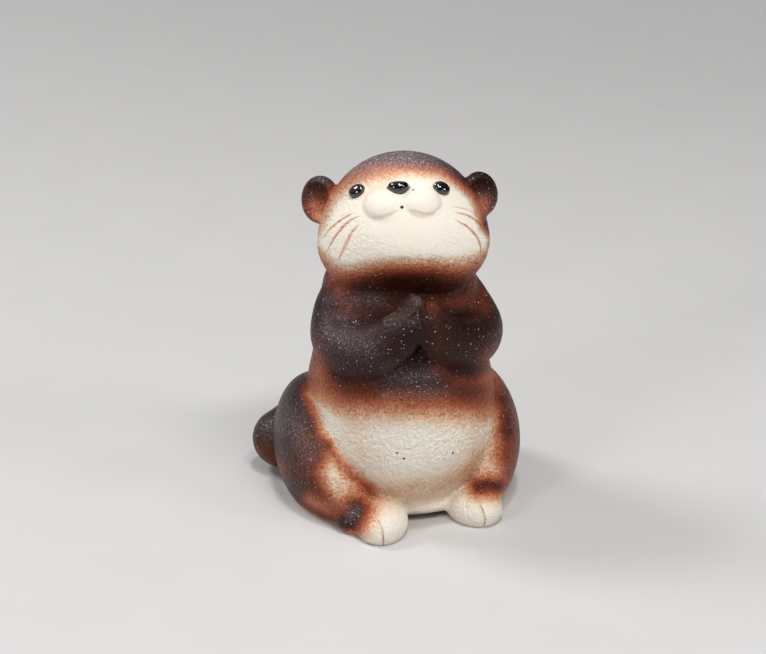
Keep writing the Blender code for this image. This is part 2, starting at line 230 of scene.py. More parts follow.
lump("nape", NAPE_SIZE, NAPE_PLACE, 64, 40)

# Muzzle: two soft pads of clay pressed on under the nose, a little to the otter's left.
# Their upper edges are sponged into the face, the lower edges stay.
SIDES = (("right", -1), ("left", 1))
PAD_SIZE = (8.6, 5.4, 7.8)
PAD_SINK = 1.0
MUZZLE_AZIMUTH = 3
MOUTH_ELEVATION = 34
# Degrees to each side of the muzzle's middle, and elevation
PAD_SEAT = (18.5, 37)
PAD_TOP = (14, 49)
pad_tops = []
for word, side in SIDES:
    pad = ball("pad_form_" + word, PAD_SIZE, (0, 0, 0), 48, 30)
    pad.matrix_basis = head_seat(MUZZLE_AZIMUTH + side * PAD_SEAT[0], PAD_SEAT[1], sink=PAD_SINK)
    settle(pad)
    forms["muzzle_pad_" + word] = pad
    pad_top = head_seat(MUZZLE_AZIMUTH + side * PAD_TOP[0], PAD_TOP[1]).translation
    pad_tops.append(tuple((pad_top - BODY_AXIS) / MM))
MOUTH_SEAT = head_seat(MUZZLE_AZIMUTH, MOUTH_ELEVATION)
MOUTH_RADIUS = 0.33
MOUTH_DEPTH = 3.0

# Nose and eyes: beads of black glaze laid thick in shallow sockets, glossy from the kiln.
# The nose is pinched narrow at its lower corners, the eyes slant with the cheeks.
# Size, azimuth and elevation on the head, and tilt
BEADS = {
    "nose": ((5.0, 3.0, 2.9), 0, 48.5, 0),
    "eye_right": ((3.9, 2.0, 3.2), -45, 43, -38),
    "eye_left": ((3.9, 2.0, 3.2), 45, 43, 38),
}
BEAD_STANDS_OUT = 0.3
SOCKET_GAP = 0.12
# Pinches on each side of the nose: where, which way and how far they reach
NOSE_PINCHES = (
    ((2.2, -0.6, -0.5), (-0.42, 0.0, 0.0), 1.6),
    ((1.8, -0.5, 0.95), (0.12, 0.0, 0.12), 1.3),
)
BLACK_DEEP = (0.002, 0.002, 0.002, 1)
BLACK_WARM = (0.009, 0.006, 0.005, 1)


def copy_of(piece, name):
    take(piece)
    bpy.ops.object.duplicate()
    twin = bpy.context.object
    twin.name = name
    return twin


def shader_step(tree, kind, sockets=(), **settings):
    """One node, its sockets given a value or a link each."""
    made = tree.nodes.new(kind)
    for setting, value in settings.items():
        setattr(made, setting, value)
    for socket, value in sockets:
        if isinstance(value, bpy.types.NodeSocket):
            tree.links.new(value, made.inputs[socket])
        else:
            made.inputs[socket].default_value = value
    return made


def reckon(tree, operation, *values, clamp=False):
    return shader_step(
        tree, "ShaderNodeMath", enumerate(values), operation=operation, use_clamp=clamp
    ).outputs[0]


def blend(tree, share, under, over):
    mixed = (("Factor", share), (6, under), (7, over))
    return shader_step(tree, "ShaderNodeMix", mixed, data_type="RGBA").outputs[2]


def soft_limit(tree, value, low, high):
    made = shader_step(
        tree, "ShaderNodeMapRange", (("Value", value), ("From Min", low), ("From Max", high)),
        interpolation_type="SMOOTHSTEP",
    )
    return made.outputs[0]


def cloud_on(tree, place, scale, detail, rough=0.5):
    clouded = (("Vector", place), ("Scale", scale), ("Detail", detail), ("Roughness", rough))
    return shader_step(tree, "ShaderNodeTexNoise", clouded).outputs["Fac"]


def new_finish(name):
    """A material, its nodes, its shader and the places on the object that they read."""
    material = bpy.data.materials.new(name)
    material.use_nodes = True
    tree = material.node_tree
    place = shader_step(tree, "ShaderNodeTexCoord").outputs["Object"]
    return material, tree, tree.nodes["Principled BSDF"], place


def black_glaze(name):
    material, tree, shader, place = new_finish(name)
    cloud = cloud_on(tree, place, 900.0, 3.0)
    tree.links.new(blend(tree, cloud, BLACK_DEEP, BLACK_WARM), shader.inputs["Base Color"])
    tree.links.new(reckon(tree, "MULTIPLY_ADD", cloud, 0.06, 0.02), shader.inputs["Roughness"])
    shader.inputs["Specular IOR Level"].default_value = 0.8
    shader.inputs["Coat Weight"].default_value = 0.8
    shader.inputs["Coat Roughness"].default_value = 0.03
    return material


black = black_glaze("black glaze")
bead_seats = {}
sockets = []
for node, (size, azimuth, elevation, tilt) in BEADS.items():
    bead = ball(node + "_bead", size, (0, 0, 0), 64, 40)
    if node == "nose":
        for side in (-1, 1):
            for spot, move, reach in NOSE_PINCHES:
                push(bead, mirrored(spot, side), mirrored(move, side), reach)
    bead_seats[node] = head_seat(azimuth, elevation, -BEAD_STANDS_OUT, math.radians(tilt))
    bead.matrix_basis = bead_seats[node]
    settle(bead)
    socket = copy_of(bead, "socket")
    finish_with(socket, "DISPLACE", strength=SOCKET_GAP * MM, mid_level=0.0)
    sockets.append(socket)
    take(bead)
    bpy.ops.object.shade_smooth()
    bead.data.materials.append(black)
    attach(bead, "root")
    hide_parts(node)

# Ears: thin cups pinched from small balls of the same clay, their bowls to the front.
# They are luted on the sides of the head, and their roots are sponged into it.
EAR_SIZES = {"right": (9.2, 6.4, 11.0), "left": (8.6, 6.2, 10.4)}
EAR_RIM = 0.9
BOWL_AHEAD = 0.52
EAR_SHIFT = Vector((-0.7, 0.0, 0.1)) * MM
EAR_STANDS_OUT = 1.2
# Azimuth and elevation on the head: where an ear sits, and where its bowl looks
EAR_SEAT = (98, 20)
EAR_LOOKS = (22, 12)
for word, side in SIDES:
    width, depth, height = EAR_SIZES[word]
    seat = head_seat(side * EAR_SEAT[0], EAR_SEAT[1])
    away = head_axes @ outward(side * EAR_SEAT[0], EAR_SEAT[1])
    back = -(head_axes @ outward(side * EAR_LOOKS[0], EAR_LOOKS[1])).normalized()
    up = head_axes @ Vector((0, 0, 1))
    up = (up - back * up.dot(back)).normalized()
    turn = Matrix((back.cross(up), back, up)).transposed().to_4x4()
    place = seat.translation + away * EAR_STANDS_OUT * MM + EAR_SHIFT
    bowl_size = (width - 2 * EAR_RIM, depth, height - 2 * EAR_RIM)
    ear = ball("ear_form_" + word, (width, depth, height), (0, 0, 0), 48, 32)
    bowl = ball("ear_bowl", bowl_size, (0, 0, 0), 48, 32)
    ear.matrix_basis = Matrix.Translation(place) @ turn
    bowl.matrix_basis = ear.matrix_basis @ Matrix.Translation((0, -BOWL_AHEAD * depth * MM, 0))
    settle(ear)
    settle(bowl)
    forms["ear_" + word] = ear
    forms["bowl_" + word] = bowl

# Arms: rolls of clay laid from the shoulders round the chest, pressed paw to paw in front of it.
# Each is built of pinches smoothed into one roll, and a lump fills out the right shoulder.
# Place in millimetres on each arm's own side, radius, and how far both paws lean to the right
UPPER_ARM = (
    (12.2, 0.5, 52.2, 5.2, 0.0),
    (14.7, -1.5, 47.1, 6.1, 0.0),
    (15.9, -7.5, 42.6, 6.5, 0.0),
    (12.2, -15.5, 42.6, 6.1, 0.6),
)
PAWS = {
    "right": (
        (6.7, -20.5, 46.2, 5.5, 1.9), (2.9, -22.5, 50.4, 4.6, 1.4), (1.5, -22.2, 54.9, 2.9, 1.2),
    ),
    "left": (
        (6.7, -20.5, 46.0, 5.4, 1.9), (3.2, -22.2, 49.6, 4.2, 1.4), (2.1, -21.6, 53.2, 2.8, 1.2),
    ),
}
PAWS_MEET = -1.6
ROLL_VOXEL = 0.5
SHOULDER_SIZE = (14.0, 12.0, 10.0)
SHOULDER_PLACE = (-11.5, -9.0, 47.6)
LIGHT_RUBS = 6


def smooth_course(stations, steps):
    """Places between the stations, on one smooth curve through them all."""
    rows = np.array(stations, dtype=float)
    rows = np.vstack([2 * rows[0] - rows[1], rows, 2 * rows[-1] - rows[-2]])
    course = []
    for i in range(1, len(rows) - 2):
        a, b, c, d = rows[i - 1 : i + 3]
        for t in np.arange(steps) / steps:
            course.append(
                0.5 * (2 * b + (c - a) * t + (2 * a - 5 * b + 4 * c - d) * t**2
                       + (3 * b - a - 3 * c + d) * t**3)
            )
    return np.array(course + [rows[-2]])


def melt_together(parts, name, voxel):
    """Joins overlapping lumps of clay into one closed skin."""
    melted = parts[0]
    take(melted)
    for part in parts:
        part.select_set(True)
    bpy.ops.object.join()
    melted.name = name
    finish_with(melted, "REMESH", mode="VOXEL", voxel_size=voxel * MM)
    return melted


def sponge_over(piece, rubs, **where):
    finish_with(piece, "SMOOTH", factor=0.5, iterations=rubs, **where)


def clay_roll(name, stations, side=1, steps=6):
    pinches = []
    for x, y, z, radius, lean in smooth_course(stations, steps):
        pinches.append(ball("pinch", (2 * radius,) * 3, at(side * x - lean, y, z), 32, 20))
        settle(pinches[-1])
    roll = melt_together(pinches, name, ROLL_VOXEL)
    sponge_over(roll, LIGHT_RUBS)
    return roll


for word, side in SIDES:
    forms["arm_" + word] = clay_roll("arm_form_" + word, UPPER_ARM + PAWS[word], side)
lump("shoulder", SHOULDER_SIZE, SHOULDER_PLACE)

# Haunches: fat pads of clay against the sides of the body, their knees drawn forwards and down.
# The left thigh is pushed out a little over the belly.
HAUNCH_SIZE = (21.6, 40.0, 34.0)
HAUNCH_PLACE = (18.4, 3.0, 12.1)
KNEES = ((0.0, -16.8, -6.8), (-3.0, -5.5, -1.0), 15.0)
LEFT_THIGH = ((-4.0, -13.0, 6.0), (-1.8, -1.6, 0.0), 12.0)
for word, side in SIDES:
    haunch = ball("haunch_form_" + word, HAUNCH_SIZE, (0, 0, 0), 72, 44)
    spot, move, reach = KNEES
    push(haunch, mirrored(spot, side), mirrored(move, side), reach)
    if word == "left":
        push(haunch, *LEFT_THIGH)
    haunch.location = at(*mirrored(HAUNCH_PLACE, side))
    settle(haunch)
    forms["haunch_" + word] = haunch

# Feet: two low balls of clay set under the belly, toes to the front and a little outwards.
# Their soles are wiped flat together with the base.
FOOT_SIZE = (12.4, 16.0, 10.4)
FOOT_PLACES = {"right": (-9.8, -21.4, 2.9), "left": (13.0, -18.4, 2.9)}
FOOT_SPLAY = 18
for word, side in SIDES:
    foot = ball("foot_form_" + word, FOOT_SIZE, (0, 0, 0), 56, 36)
    foot.rotation_euler = (0, 0, math.radians(FOOT_SPLAY * side))
    foot.location = at(*FOOT_PLACES[word])
    settle(foot)
    forms["foot_" + word] = foot

# Lap: a ledge of clay under the belly ties the two feet together, clear of the ground, and a
# smaller lump fills the crease over the otter's right ankle.
LAP_SIZE = (27.0, 10.0, 5.4)
LAP_PLACE = (1.6, -14.4, 3.5)
ANKLE_SIZE = (10.0, 9.6, 9.4)
ANKLE_PLACE = (-15.0, -18.0, 3.4)
lump("lap", LAP_SIZE, LAP_PLACE)
lump("ankle", ANKLE_SIZE, ANKLE_PLACE)

# Tail: a fat roll of clay, luted on the back and lying behind the otter's right haunch.
# It is built of pinches as the arms are: place, radius and lean.
TAIL_COURSE = (
    (0.0, 23.8, 8.7, 8.0, 0.0),
    (-13.3, 25.0, 8.7, 8.0, 0.0),
    (-25.0, 17.5, 7.9, 7.2, 0.0),
)
forms["tail"] = clay_roll("tail_form", TAIL_COURSE, steps=10)

# The pieces are luted with slip and the joints sponged over, so one skin of clay runs through.
# Ankles, shoulders and ear roots are sponged most, the paws and the line under the chin least.
SKIN_VOXEL = 0.3
SPONGE_RUBS = 60
SPONGE_RISE = 1.6
SPONGE_LEVELS = 10
# How far each form is grown to claim its clay when the skin is parted again
CLAIM_GROWTH = 0.5
HEAD_PARTS = ("ear_right", "ear_left", "muzzle_pad_right", "muzzle_pad_left")
BODY_PARTS = (
    "arm_right", "arm_left", "foot_right", "foot_left", "haunch_right", "haunch_left", "tail",
)
# Place, reach and how much the sponge takes there
SPONGED = (
    ((-11, -17, 4), 14, 1),
    ((13, -15, 4), 14, 1),
    ((0, -18, 2), 12, 1),
    ((-17, 14, 16), 16, 0.6),
    ((17, 14, 16), 16, 0.8),
    ((0, 16, 57), 22, 0.8),
    *(((side * 19, -10, 14), 14, 0.7) for side in (-1, 1)),
    *(((side * 14, 2, 50), 13, 1) for side in (-1, 1)),
    *(((side * 12, -11, 49), 9, 0.8) for side in (-1, 1)),
    *(((side * 17, -3, 68), 8, 0.5) for side in (-1, 1)),
    *((place, 6.5, 0.7) for place in pad_tops),
)


def read_off(piece, what):
    flat = np.empty(len(piece.data.vertices) * 3)
    piece.data.vertices.foreach_get(what, flat)
    return flat.reshape(-1, 3)


def places_of(piece):
    """The piece's points in millimetres from the middle of the body's base."""
    return (read_off(piece, "co") - np.array(BODY_AXIS)) / MM


def smooth_step(x):
    x = np.clip(x, 0, 1)
    return x * x * (3 - 2 * x)


def cut(piece, cutter, operation="DIFFERENCE"):
    finish_with(piece, "BOOLEAN", object=cutter, operation=operation, solver="MANIFOLD")


def throw_away(piece):
    bpy.data.objects.remove(piece, do_unlink=True)


def use_up(piece, cutter, operation="DIFFERENCE"):
    """Cuts a piece with a cutter that isn't needed again."""
    cut(piece, cutter, operation)
    throw_away(cutter)


claims = {}
for node in (*HEAD_PARTS, *BODY_PARTS, "ankle"):
    claim = copy_of(forms[node], "claim_" + node)
    finish_with(claim, "DISPLACE", strength=CLAIM_GROWTH * MM, mid_level=0.0)
    claims[node] = claim

for word, _ in SIDES:
    use_up(forms["ear_" + word], forms.pop("bowl_" + word))
skin = melt_together(list(forms.values()), "skin", SKIN_VOXEL)
sponge_over(skin, LIGHT_RUBS)
points = places_of(skin)
sponge = np.zeros(len(points))
for place, reach, amount in SPONGED:
    near = 1 - np.linalg.norm(points - np.array(place), axis=1) / reach
    sponge = np.maximum(sponge, amount * smooth_step(near * SPONGE_RISE))
sponged = skin.vertex_groups.new(name="sponged")
for level in range(1, SPONGE_LEVELS + 1):
    chosen = np.nonzero(np.ceil(sponge * SPONGE_LEVELS) == level)[0]
    sponged.add([int(i) for i in chosen], level / SPONGE_LEVELS, "REPLACE")
sponge_over(skin, SPONGE_RUBS, vertex_group="sponged")

# Lines are scored with a blunt needle while the clay is soft: between the toes, between the paws
# and across them, and where the muzzle pads were pressed on. The needle throws up a low lip.
FRONT_TURN = math.radians(-14)
FRONT_LIFT = math.radians(22)
FRONT_RIGHT = np.array((math.cos(FRONT_TURN), math.sin(FRONT_TURN), 0.0))
FRONT_TOWARD = np.array((math.sin(FRONT_TURN) * math.cos(FRONT_LIFT),
                         -math.cos(FRONT_TURN) * math.cos(FRONT_LIFT), math.sin(FRONT_LIFT)))
FRONT_UP = np.cross(FRONT_TOWARD, FRONT_RIGHT)
# Course, to the right and up as seen square from the front of the face, then how near to the
# viewer the clay must be, the needle's width and its depth
SCORED = (
    (((4.4, 42.4), (4.8, 39.8), (4.6, 37.4), (4, 34.8), (3.4, 32.4)), 31, 0.4, 0.6),
    (((1.4, 40.1), (2.5, 40.7), (3.4, 41.6)), 37, 0.2, 0.3),
    (((2.8, 38.8), (3.6, 38.5), (4.4, 38.9)), 37, 0.2, 0.25),
    (((-5.2, -5.1), (-4.4, -6.7), (-3.9, -8.5), (-3.9, -11.4)), 15, 0.17, 0.42),
    (((-8.6, -5.6), (-8.9, -8), (-8.6, -10.4)), 15, 0.24, 0.1),
    (((-0.9, -5.4), (-0.3, -8), (-0.6, -10.2)), 15, 0.24, 0.1),
    (((18, -1.7), (18.9, -4), (19.5, -5.8), (19.2, -8)), 12, 0.17, 0.42),
    (((15, -1.6), (15.2, -4.4), (15.6, -6.6)), 12, 0.24, 0.1),
    (((21.6, -1.4), (22.6, -3.8), (22.8, -6)), 12, 0.24, 0.1),
    (((-5.9, 62.2), (-4.4, 62.1), (-2, 62.8), (0, 63.6)), 35, 0.3, 0.09),
    (((2.2, 63.6), (5, 62.7), (7, 63), (8.5, 64.5)), 35, 0.3, 0.1),
)
FACES_FRONT = -0.1
LIP_SHARE = 0.28
LIP_PLACE = 2.1
# Within these reaches of a line the skin is made finer, once and once more
FINER = (1.3, 0.8)


def seen(points):
    """Places to the right, up and towards the viewer, square to the front of the face."""
    return points @ FRONT_RIGHT, points @ FRONT_UP, points @ FRONT_TOWARD


def off_run(across, up, start, run):
    """How far each place lies from a straight run, and its share of the run's length."""
    dx, dy = across - start[0], up - start[1]
    share = np.clip((dx * run[0] + dy * run[1]) / (run @ run), 0, 1)
    return np.hypot(dx - share * run[0], dy - share * run[1]), share


def off_course(across, up, course):
    """How far each place lies from a course, on which side, and how far along it, 0 to 1."""
    course = np.array(course, dtype=float)
    lengths = np.linalg.norm(np.diff(course, axis=0), axis=1)
    starts = np.concatenate(([0], np.cumsum(lengths)))
    best = np.full(len(across), 1e9)
    sides = np.ones(len(across))
    along = np.zeros(len(across))
    for i, (start, end) in enumerate(zip(course, course[1:])):
        run = end - start
        far, share = off_run(across, up, start, run)
        left_of = run[0] * (up - start[1]) > run[1] * (across - start[0])
        nearer = far < best
        best = np.where(nearer, far, best)
        sides = np.where(nearer, np.where(left_of, 1.0, -1.0), sides)
        along = np.where(nearer, (starts[i] + share * lengths[i]) / starts[-1], along)
    return best, sides, along


def refine(piece, chosen):
    """Divides the faces round the chosen points, so a fine line can be pressed there."""
    take(piece)
    bpy.ops.object.mode_set(mode="EDIT")
    bpy.ops.mesh.select_mode(type="VERT")
    bpy.ops.mesh.select_all(action="DESELECT")
    bpy.ops.object.mode_set(mode="OBJECT")
    piece.data.vertices.foreach_set("select", chosen)
    bpy.ops.object.mode_set(mode="EDIT")
    bpy.ops.mesh.select_mode(type="VERT")
    bpy.ops.mesh.select_mode(type="FACE")
    bpy.ops.mesh.subdivide(number_cuts=1)
    bpy.ops.object.mode_set(mode="OBJECT")


def near_lines(piece, reach):
    across, up, toward = seen(places_of(piece))
    faces_front = read_off(piece, "normal") @ FRONT_TOWARD > FACES_FRONT
    chosen = np.zeros(len(across), dtype=bool)
    for course, nearest, _, _ in SCORED:
        chosen |= (off_course(across, up, course)[0] < reach) & (toward > nearest) & faces_front
    return chosen


for reach in FINER:
    refine(skin, near_lines(skin, reach))
points = places_of(skin)
facets = read_off(skin, "normal")
across, up, toward = seen(points)
pressed = np.zeros(len(points))
for course, nearest, width, depth in SCORED:
    far, _, along = off_course(across, up, smooth_course(course, 4))
    ends = smooth_step(np.minimum(along, 1 - along) * 5 + 0.25)
    lip = LIP_SHARE * np.exp(-(((far - LIP_PLACE * width) / width) ** 2))
    groove = np.exp(-((far / width) ** 2)) - lip
    open_to_needle = (toward > nearest) & (facets @ FRONT_TOWARD > FACES_FRONT)
    pressed += np.where(open_to_needle, groove * depth * ends, 0)
points = points - facets * pressed[:, None]

# Glaze: the figure is dipped in cream slip. Card stencils are held over the face and the belly
# while iron wash is sprayed on, so it fades through rust to cream; then single strokes follow.
# Stencil edges, seen square from the front: to the right, up, and how wide the spray fades
FACE_STENCIL = (
    (-18.2, 60.6, 5.5), (-17.2, 64.9, 7.5), (-16, 67.9, 8.5), (-14, 70.2, 9), (-11.2, 71.9, 9),
    (-6.8, 73.1, 9), (-3.5, 73.4, 8.5), (-0.2, 73.5, 8), (4.1, 73.2, 7.5), (8.5, 72.6, 7),
    (11.1, 71.3, 6), (13.6, 69.6, 5), (15.7, 66.9, 3.5), (16.6, 64.7, 3), (17.2, 62.5, 3),
    (17.9, 60.4, 3), (20.1, 58.2, 3), (19.9, 55.1, 4), (17.7, 53.1, 6.5), (15.1, 51.7, 7.5),
    (12.9, 51.2, 8), (8.5, 51.3, 7.5), (-0.2, 51.6, 6.6), (-4.6, 51.3, 6.6), (-7.9, 50.7, 7),
    (-11.2, 50.2, 6.5), (-13.3, 50.3, 6.5), (-15.3, 51.3, 7), (-17.3, 53.4, 6), (-19.5, 56.2, 4),
    (-19.9, 58.6, 5),
)
BELLY_STENCIL = (
    (-20.9, 22.7, 8), (-18.2, 22.2, 12), (-13.7, 21.8, 13), (-6.9, 21.1, 14), (2.2, 20.7, 14),
    (10.1, 20.4, 14), (18, 18.9, 12), (22.5, 18.4, 9), (23, 16.1, 6), (22.6, 12.8, 6),
    (22.4, 10.5, 6), (22.6, 7.8, 6), (23.4, 5.1, 6), (24.3, 2.4, 5), (26.1, -0.8, 4),
    (26.6, -6.5, 4), (20.2, -13.7, 4), (8.9, -14, 4), (-0.1, -16.4, 4), (-12, -16.4, 3),
    (-13, -8.7, 3.5), (-12.4, -5, 4), (-14.4, -2.2, 5), (-17.4, 1.3, 6), (-18.2, 4.8, 6),
    (-16.8, 8.2, 5), (-16.6, 11.2, 5), (-18, 14.6, 5), (-19.3, 18.4, 6),
)
# Each card, the heights it covers and how near to the viewer the clay under it must be
CARDS = ((FACE_STENCIL, 50, 90, 22), (BELLY_STENCIL, -1, 38, -60))
# Where the wash is wiped thin again: course, spread and how much comes off. The haunches, flanks
# and upper belly, the chest, arms and shoulders, then the ears and the tail.
WIPED = (
    (((24.1, 17.3), (25.2, 10.5), (25.2, 1.5)), 6, 0.3),
    (((-19.5, 29.7), (-19.1, 25.2), (-18.2, 21.8)), 2.4, 0.26),
    (((-18.6, 28.1), (-13.9, 25), (-6.4, 25.4), (0.6, 28.6)), 1.3, 0.08),
    (((-22.4, 14), (-22.8, 10), (-22.2, 5)), 2.2, 0.14),
    (((7.4, 29), (12.6, 26.1), (17.5, 25.9), (21.4, 27.2)), 1.3, 0.24),
    (((21.4, 30.6), (21.8, 25.2), (21.8, 20.7)), 2.4, 0.26),
    (((-9, 47.4), (0.5, 46.8), (10.5, 47.6)), 2.2, 0.1),
    (((-12.2, 42.2), (-7.7, 41.8), (-2.4, 42.2)), 1.8, 0.12),
    (((7.2, 43.5), (10.7, 43.8), (14.2, 44)), 1.5, 0.16),
    (((-16.4, 52.5), (-15.7, 49.7), (-13.6, 46.8)), 2.6, 0.26),
    (((18.1, 52.5), (16.8, 49.2), (18.1, 44.2)), 2.6, 0.24),
    (((-19.8, 33.1), (-20, 29), (-18.2, 26.3)), 2, 0.16),
    (((19.3, 31.7), (21.8, 34.2)), 2.2, 0.07),
    (((7.2, 40.3), (7.9, 34.4)), 1.8, 0.08),
    (((-20.5, -1.8), (-17, -2.9), (-14.8, -4.2)), 1.9, 0.48),
    (((-18.6, 12.8), (-19.1, 8.2), (-19.5, 3.7)), 2, 0.14),
    (((-19.4, 65.2), (-18.6, 62.8), (-17.8, 60.6)), 1.5, 0.34),
    (((-18.4, 66.4), (-18.6, 63.4)), 1.2, 0.12),
    (((18.4, 66), (18.1, 63.6), (17.7, 62.4)), 1.3, 0.3),
    (((-20.6, 67.4), (-20.2, 65.6)), 1.8, 0.16),
    (((19.4, 66.8), (19.8, 65.4)), 1.6, 0.2),
    (((15.7, 67.8), (16.6, 64.7)), 1.3, 0.3),
    (((-32.2, 8.2), (-30.4, 6), (-28.1, 5.5)), 2.6, 0.22),
)
# Where single strokes go on over the slip, from the creases up to the brow: course, spread and
# strength. The broad stroke along the bottom of the belly is painted shade.
SPRAYED = (
    (((-16.6, 11.6), (-13.9, 7.5), (-11.3, 4.8), (-8.8, 2.6), (-7.4, 1.6)), 1.1, 0.48),
    (((22.1, 14.6), (19.8, 10), (17.5, 7.8), (14.4, 5.3)), 1, 0.06),
    (((24.4, 21), (24.6, 17.6), (25, 14.4)), 1.7, 0.6),
    (((-11.6, 20), (-10.4, 15), (-8.4, 10)), 2.4, 0.09),
    (((18.6, 20), (18.6, 15), (17, 10.5)), 2.4, 0.08),
    (((-15.7, 1.9), (-12.5, 1), (-10.5, -0.1)), 3.4, 0.14),
    (((21.1, 7.8), (18.9, 5.5), (22.5, 4.6)), 2.6, 0.18),
    (((-10, -3.2), (-10.6, -4.6), (-11.6, -6.4)), 2.6, 0.94),
    (((18.2, 1.5), (20.5, 2), (22.8, 1.4)), 1.55, 0.8),
    (((17.1, 0.1), (19.8, -0.1), (23.4, -0.8)), 1.8, 0.22),
    # Painted shade: a thin wash that darkens the bottom of the belly towards the ground.
    (((-5.1, 0.1), (2.2, 0.8), (10.3, 2.4), (15, 4.6)), 2.6, 0.2),
    (((-5.9, 62.1), (-4.4, 62.1), (-2, 62.8)), 0.22, 0.09),
    (((2.4, 63.4), (5, 62.7), (7, 63)), 0.3, 0.1),
    (((-4.2, -7.2), (-3.9, -8.5), (-3.9, -11)), 0.1, 0.16),
    (((18.7, -3.6), (19.5, -5.8), (19.3, -7.6)), 0.1, 0.16),
    (((-12.6, 69.6), (-7.5, 70.2), (-2.5, 70.4)), 2.2, 0.11),
)
# The wash is wiped thin low down, and hardly any stays under the base
WIPED_HEIGHT = 2.4
WIPED_SHARE = 0.45
GROUND_WASH = 0.1


def inside_stencil(across, up, outline):
    """1 where a card with this outline keeps the wash off, soft at its edges."""
    closed = np.array(outline + outline[:1])
    inside = np.zeros(len(across), dtype=bool)
    best = np.full(len(across), 1e9)
    fade = np.ones(len(across))
    for start, end in zip(closed, closed[1:]):
        run = end[:2] - start[:2]
        far, share = off_run(across, up, start, run)
        fade = np.where(far < best, start[2] + share * (end[2] - start[2]), fade)
        best = np.minimum(best, far)
        crosses = (start[1] > up) != (end[1] > up)
        with np.errstate(divide="ignore", invalid="ignore"):
            meets = start[0] + (up - start[1]) * run[0] / run[1]
        inside ^= crosses & (across < meets)
    return smooth_step(0.5 + np.where(inside, best, -best) / fade)


def in_reach(points, facets):
    """1 where a stroke from the front lands, 0 where the clay faces away or lies far back."""
    facing = facets @ FRONT_TOWARD
    return smooth_step((facing + 0.2) / 0.35) * smooth_step((26 - points[:, 1]) / 8)


def stroke(across, up, course, spread, amount):
    far = off_course(across, up, course)[0]
    return amount * np.exp(-0.5 * (far / spread) ** 2)


def wash_on(points, facets):
    """How thick the iron wash lies, 0 bare slip to 1 dark brown."""
    across, up, toward = seen(points)
    facing = facets @ FRONT_TOWARD
    in_front = in_reach(points, facets)
    before_card = smooth_step((facing + 0.3) / 0.4) * smooth_step((9 - points[:, 1]) / 9)
    wash = np.full(len(points), 1.0)
    for course, spread, amount in WIPED:
        wash = wash * (1 - stroke(across, up, course, spread, amount) * in_front)
    for outline, low, high, nearest in CARDS:
        open_part = (points[:, 2] > low) & (points[:, 2] < high)
        open_part = open_part * smooth_step((toward - nearest) / 4)
        wash = wash * (1 - inside_stencil(across, up, outline) * open_part * before_card)
    for course, spread, amount in SPRAYED:
        mist = np.minimum(stroke(across, up, course, spread, amount) * in_front, 1)
        wash = 1 - (1 - wash) * (1 - mist)
    wiped = WIPED_SHARE * smooth_step((WIPED_HEIGHT - points[:, 2]) / WIPED_HEIGHT)
    wash = wash * (1 - wiped)
    return np.clip(np.where(points[:, 2] < 0.05, GROUND_WASH, wash), 0, 1)


# Painted sheen: fine lilac grey grains painted where the wash lies thick, as the sheen of a bright
# sky on the right arm, chest, paws, haunch, upper belly, ears, ankle and tail, and all over the
# crown, most on the crown's right side.
CROWN_PAINTED_SHEEN = 0.56
CROWN_HEIGHT = 75
PAINTED_SHEEN_STROKES = (
    (((-16.4, 36.6), (-12, 35.2), (-8, 34.4)), 2.5, 0.19),
    (((-15.6, 40.2), (-13.4, 39.6)), 2, 0.14),
    (((-16.4, 44.6), (-10.5, 44.4), (-5.2, 44.2)), 1.3, 0.17),
    (((-2.4, 39.6), (2, 40.4)), 1.5, 0.09),
    (((3.1, 44.6), (3.8, 43.8)), 0.7, 0.2),
    (((-24.4, 16.5), (-22.5, 12.5), (-20.8, 9.8)), 2.5, 0.2),
    (((-2, 27.2), (3, 27.8), (7, 27.4)), 1.7, 0.2),
    (((-3, 23.6), (3, 23.4), (8, 23.6)), 2, 0.13),
    (((-20.6, 67.8), (-20.4, 65.4)), 2, 0.12),
    (((19.6, 67), (19.8, 65)), 1.7, 0.2),
    (((-10.8, -3.4), (-11, -4.8)), 1.2, 0.2),
    (((-31.4, 14.2), (-28.6, 15.2)), 2.2, 0.18),
)


# Painted sheen: how much lilac grey is painted on each point in place of a reflected sky.
def painted_sheen_on(points, facets):
    across, up, _ = seen(points)
    in_front = in_reach(points, facets)
    crown = CROWN_PAINTED_SHEEN * smooth_step((points[:, 2] - CROWN_HEIGHT) / 6)
    painted_sheen = crown * smooth_step((18 - across) / 18)
    for course, spread, amount in PAINTED_SHEEN_STROKES:
        painted_sheen = np.maximum(painted_sheen, stroke(across, up, course, spread, amount) * in_front)
    return painted_sheen


# Pebble: the slip dries in grains over the belly, the chin and the feet, and lies smooth round
# the muzzle. The grain is raised in the clay itself, most of all where the wash thins out.
PEBBLE = 0.1


def tooth_on(points, wash):
    across, up, _ = seen(points)
    tooth = 0.3 + 0.6 * smooth_step((0.8 - wash) / 0.5) + 1.5 * wash * (1 - wash)
    tooth = tooth * (0.5 + 0.5 * smooth_step((points[:, 2] - 4) / 7))
    muzzle = np.hypot(across - 1.0, (up - 65.5) * 1.1)
    face = smooth_step((muzzle - 6) / 9) * (0.3 + 0.7 * smooth_step(wash / 0.16))
    return np.where(points[:, 2] > 55, tooth * (0.06 + 0.94 * face), tooth)


def grain_on(points):
    spots = map(Vector, points)
    return np.array([noise.noise(p * 1.15) + 0.5 * noise.noise(p * 2.3) for p in spots])


wash = wash_on(points, facets)
tooth = tooth_on(points, wash)
grain = grain_on(points)
points = points + facets * (grain * tooth * PEBBLE)[:, None]
skin.data.vertices.foreach_set("co", (points * MM + np.array(BODY_AXIS)).ravel())
skin.data.update()
skin_facets = facets
skin_tree = KDTree(len(points))
for number, point in enumerate(points):
    skin_tree.insert(point, number)
skin_tree.balance()

